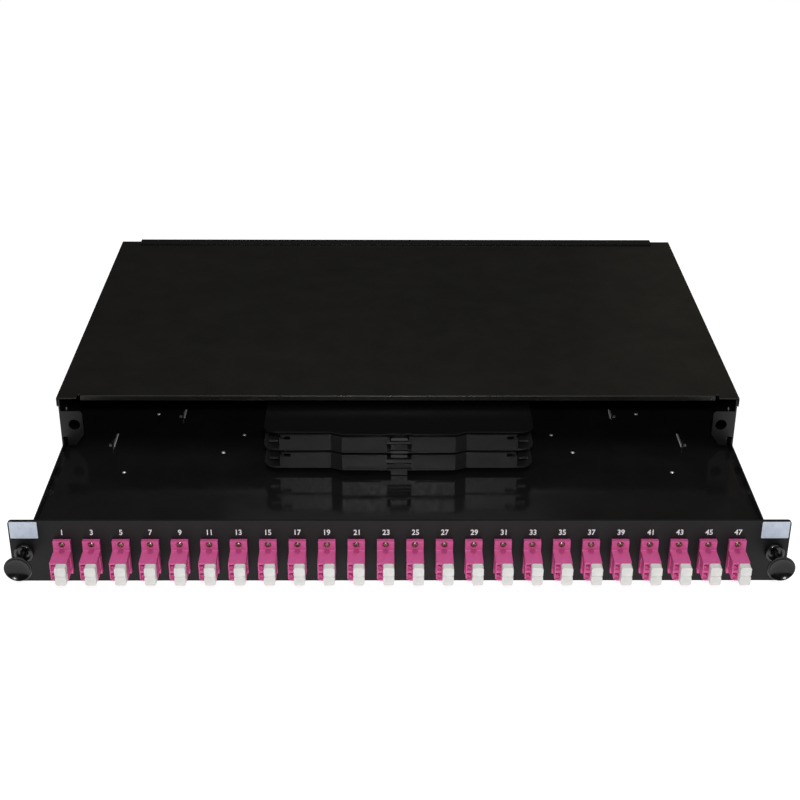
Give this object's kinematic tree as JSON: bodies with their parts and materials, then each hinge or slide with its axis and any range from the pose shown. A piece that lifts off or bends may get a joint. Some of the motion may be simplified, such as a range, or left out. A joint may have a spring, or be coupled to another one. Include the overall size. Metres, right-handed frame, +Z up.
{
  "type": "fiber termination box",
  "caption": "Shallow rack-width fibre termination box: steel housing, sliding drawer with an adapter row on its front panel, push-in plungers and stacked splice trays.",
  "frame": {"origin": "centre of the housing's underside", "axes": "+X along the front panel to the right seen from the front, +Y from the front panel to the rear wall, +Z up"},
  "size_m": [0.488, 0.518, 0.0445],
  "materials": {
    "black_coat": "semi-gloss black powder coat on folded steel, fine orange peel",
    "panel_coat": "fine-textured satin black powder coat",
    "tray_plastic": "satin black moulded plastic",
    "gland_plastic": "black nylon",
    "gloss_black": "glossy black nylon",
    "adapter_plastic": "heather-violet moulded plastic, smooth",
    "cap_plastic": "off-white soft plastic",
    "fastener_steel": "small zinc-plated screws and rivets",
    "label_film": "pale blue-white adhesive film",
    "print_white": "white screen print"
  },
  "bodies": {
    "housing": {"housing": "black_coat", "top_cover": "black_coat", "cable_gland": "gland_plastic"},
    "drawer": {"drawer_tray": "black_coat", "front_panel": "panel_coat", "grommet_left": "gloss_black", "grommet_right": "gloss_black", "splice_tray_lower": "tray_plastic", "splice_tray_upper": "tray_plastic", "splice_tray_lid": "tray_plastic", "adapter_01": "adapter_plastic", "adapter_02": "adapter_plastic", "adapter_03": "adapter_plastic", "adapter_04": "adapter_plastic", "adapter_05": "adapter_plastic", "adapter_06": "adapter_plastic", "adapter_07": "adapter_plastic", "adapter_08": "adapter_plastic", "adapter_09": "adapter_plastic", "adapter_10": "adapter_plastic", "adapter_11": "adapter_plastic", "adapter_12": "adapter_plastic", "adapter_13": "adapter_plastic", "adapter_14": "adapter_plastic", "adapter_15": "adapter_plastic", "adapter_16": "adapter_plastic", "adapter_17": "adapter_plastic", "adapter_18": "adapter_plastic", "adapter_19": "adapter_plastic", "adapter_20": "adapter_plastic", "adapter_21": "adapter_plastic", "adapter_22": "adapter_plastic", "adapter_23": "adapter_plastic", "adapter_24": "adapter_plastic"},
    "plunger_left": {"plunger_left": "gloss_black"},
    "plunger_right": {"plunger_right": "gloss_black"},
    "dust_cap_01": {"dust_cap_01": "cap_plastic"},
    "dust_cap_02": {"dust_cap_02": "cap_plastic"},
    "dust_cap_03": {"dust_cap_03": "cap_plastic"},
    "dust_cap_04": {"dust_cap_04": "cap_plastic"},
    "dust_cap_05": {"dust_cap_05": "cap_plastic"},
    "dust_cap_06": {"dust_cap_06": "cap_plastic"},
    "dust_cap_07": {"dust_cap_07": "cap_plastic"},
    "dust_cap_08": {"dust_cap_08": "cap_plastic"},
    "dust_cap_09": {"dust_cap_09": "cap_plastic"},
    "dust_cap_10": {"dust_cap_10": "cap_plastic"},
    "dust_cap_11": {"dust_cap_11": "cap_plastic"},
    "dust_cap_12": {"dust_cap_12": "cap_plastic"},
    "dust_cap_13": {"dust_cap_13": "cap_plastic"},
    "dust_cap_14": {"dust_cap_14": "cap_plastic"},
    "dust_cap_15": {"dust_cap_15": "cap_plastic"},
    "dust_cap_16": {"dust_cap_16": "cap_plastic"},
    "dust_cap_17": {"dust_cap_17": "cap_plastic"},
    "dust_cap_18": {"dust_cap_18": "cap_plastic"},
    "dust_cap_19": {"dust_cap_19": "cap_plastic"},
    "dust_cap_20": {"dust_cap_20": "cap_plastic"},
    "dust_cap_21": {"dust_cap_21": "cap_plastic"},
    "dust_cap_22": {"dust_cap_22": "cap_plastic"},
    "dust_cap_23": {"dust_cap_23": "cap_plastic"},
    "dust_cap_24": {"dust_cap_24": "cap_plastic"}
  },
  "joints": [
    {"name": "drawer_slide", "type": "slide", "parent": "housing", "child": "drawer", "axis": [0, 1, 0], "range_m": [-0.08, 0.1645]},
    {"name": "plunger_left_push", "type": "slide", "parent": "drawer", "child": "plunger_left", "axis": [0, 1, 0], "range_m": [0, 0.009]},
    {"name": "plunger_right_push", "type": "slide", "parent": "drawer", "child": "plunger_right", "axis": [0, 1, 0], "range_m": [0, 0.009]},
    {"name": "dust_cap_01_pull", "type": "slide", "parent": "drawer", "child": "dust_cap_01", "axis": [0, -1, 0], "range_m": [0, 0.012]},
    {"name": "dust_cap_02_pull", "type": "slide", "parent": "drawer", "child": "dust_cap_02", "axis": [0, -1, 0], "range_m": [0, 0.012]},
    {"name": "dust_cap_03_pull", "type": "slide", "parent": "drawer", "child": "dust_cap_03", "axis": [0, -1, 0], "range_m": [0, 0.012]},
    {"name": "dust_cap_04_pull", "type": "slide", "parent": "drawer", "child": "dust_cap_04", "axis": [0, -1, 0], "range_m": [0, 0.012]},
    {"name": "dust_cap_05_pull", "type": "slide", "parent": "drawer", "child": "dust_cap_05", "axis": [0, -1, 0], "range_m": [0, 0.012]},
    {"name": "dust_cap_06_pull", "type": "slide", "parent": "drawer", "child": "dust_cap_06", "axis": [0, -1, 0], "range_m": [0, 0.012]},
    {"name": "dust_cap_07_pull", "type": "slide", "parent": "drawer", "child": "dust_cap_07", "axis": [0, -1, 0], "range_m": [0, 0.012]},
    {"name": "dust_cap_08_pull", "type": "slide", "parent": "drawer", "child": "dust_cap_08", "axis": [0, -1, 0], "range_m": [0, 0.012]},
    {"name": "dust_cap_09_pull", "type": "slide", "parent": "drawer", "child": "dust_cap_09", "axis": [0, -1, 0], "range_m": [0, 0.012]},
    {"name": "dust_cap_10_pull", "type": "slide", "parent": "drawer", "child": "dust_cap_10", "axis": [0, -1, 0], "range_m": [0, 0.012]},
    {"name": "dust_cap_11_pull", "type": "slide", "parent": "drawer", "child": "dust_cap_11", "axis": [0, -1, 0], "range_m": [0, 0.012]},
    {"name": "dust_cap_12_pull", "type": "slide", "parent": "drawer", "child": "dust_cap_12", "axis": [0, -1, 0], "range_m": [0, 0.012]},
    {"name": "dust_cap_13_pull", "type": "slide", "parent": "drawer", "child": "dust_cap_13", "axis": [0, -1, 0], "range_m": [0, 0.012]},
    {"name": "dust_cap_14_pull", "type": "slide", "parent": "drawer", "child": "dust_cap_14", "axis": [0, -1, 0], "range_m": [0, 0.012]},
    {"name": "dust_cap_15_pull", "type": "slide", "parent": "drawer", "child": "dust_cap_15", "axis": [0, -1, 0], "range_m": [0, 0.012]},
    {"name": "dust_cap_16_pull", "type": "slide", "parent": "drawer", "child": "dust_cap_16", "axis": [0, -1, 0], "range_m": [0, 0.012]},
    {"name": "dust_cap_17_pull", "type": "slide", "parent": "drawer", "child": "dust_cap_17", "axis": [0, -1, 0], "range_m": [0, 0.012]},
    {"name": "dust_cap_18_pull", "type": "slide", "parent": "drawer", "child": "dust_cap_18", "axis": [0, -1, 0], "range_m": [0, 0.012]},
    {"name": "dust_cap_19_pull", "type": "slide", "parent": "drawer", "child": "dust_cap_19", "axis": [0, -1, 0], "range_m": [0, 0.012]},
    {"name": "dust_cap_20_pull", "type": "slide", "parent": "drawer", "child": "dust_cap_20", "axis": [0, -1, 0], "range_m": [0, 0.012]},
    {"name": "dust_cap_21_pull", "type": "slide", "parent": "drawer", "child": "dust_cap_21", "axis": [0, -1, 0], "range_m": [0, 0.012]},
    {"name": "dust_cap_22_pull", "type": "slide", "parent": "drawer", "child": "dust_cap_22", "axis": [0, -1, 0], "range_m": [0, 0.012]},
    {"name": "dust_cap_23_pull", "type": "slide", "parent": "drawer", "child": "dust_cap_23", "axis": [0, -1, 0], "range_m": [0, 0.012]},
    {"name": "dust_cap_24_pull", "type": "slide", "parent": "drawer", "child": "dust_cap_24", "axis": [0, -1, 0], "range_m": [0, 0.012]}
  ]
}
